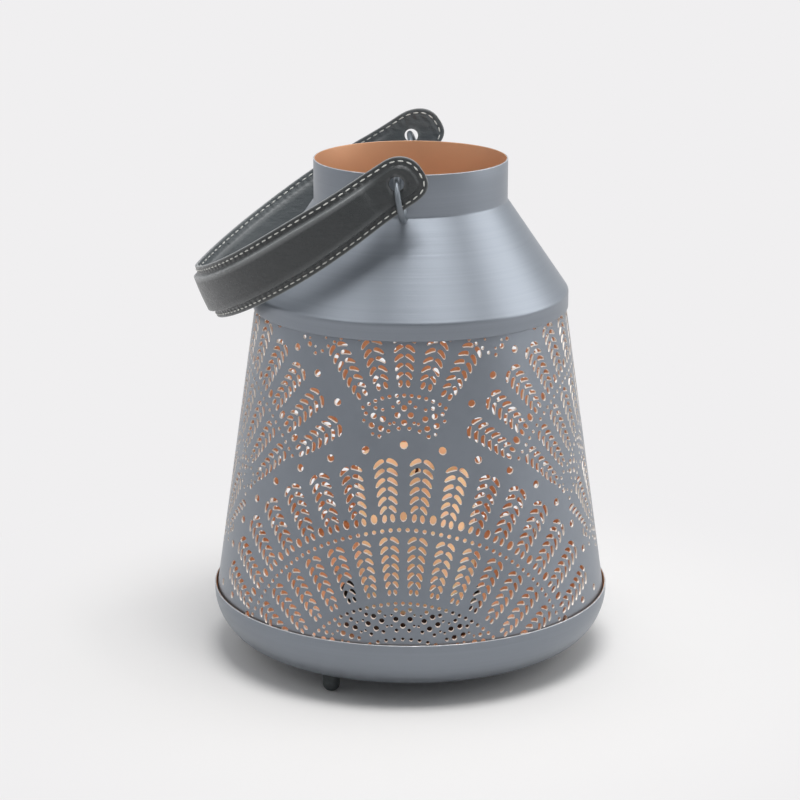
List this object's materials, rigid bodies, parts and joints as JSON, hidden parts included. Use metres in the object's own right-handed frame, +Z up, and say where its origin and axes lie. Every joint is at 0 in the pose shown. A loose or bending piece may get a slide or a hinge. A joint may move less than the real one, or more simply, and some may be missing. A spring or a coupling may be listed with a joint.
{
  "type": "candle lantern",
  "caption": "Perforated sheet-metal candle lantern with a dished base pan, an open neck and a leather strap handle that swings on wire rings.",
  "frame": {"origin": "centre of the base pan's flat underside, which lies above the floor by the height of the feet", "axes": "+Z up along the lantern's axis, -Y to the front of the picture, -X to the side where the strap handle rests"},
  "size_m": [0.2603, 0.2498, 0.331],
  "materials": {
    "grey_paint": "satin blue-grey paint outside, copper paint inside",
    "black_paint": "satin",
    "ring_paint": "satin",
    "foot_rubber": "matte",
    "screw_steel": "plain",
    "candle_wax": "waxy, slightly translucent",
    "wick_cord": "charred cotton",
    "strap_leather": "semi-gloss charcoal, padded, off-white stitching",
    "lining_leather": "satin charcoal",
    "core_felt": "felt"
  },
  "bodies": {
    "lantern": {"base_pan": "grey_paint", "foot_1": "foot_rubber", "foot_2": "foot_rubber", "foot_3": "foot_rubber", "foot_screw_1": "screw_steel", "foot_screw_2": "screw_steel", "foot_screw_3": "screw_steel", "perforated_body": "grey_paint", "shoulder_neck": "grey_paint", "candle_cup": "black_paint", "handle_ring_front": "ring_paint", "handle_ring_back": "ring_paint"},
    "handle": {"strap_outer": "strap_leather", "strap_lining": "lining_leather", "strap_core": "core_felt"},
    "candle_body": {"candle": "candle_wax", "wick": "wick_cord"}
  },
  "joints": [
    {"name": "handle_swing", "type": "hinge", "parent": "lantern", "child": "handle", "pos_m": [-0.0039, 0, 0.30179], "axis": [0.0558, 0.9984, 0], "range_deg": [0, 222]},
    {"name": "candle_lift", "type": "slide", "parent": "lantern", "child": "candle_body", "axis": [0, 0, 1], "range_m": [0, 0.31]}
  ]
}
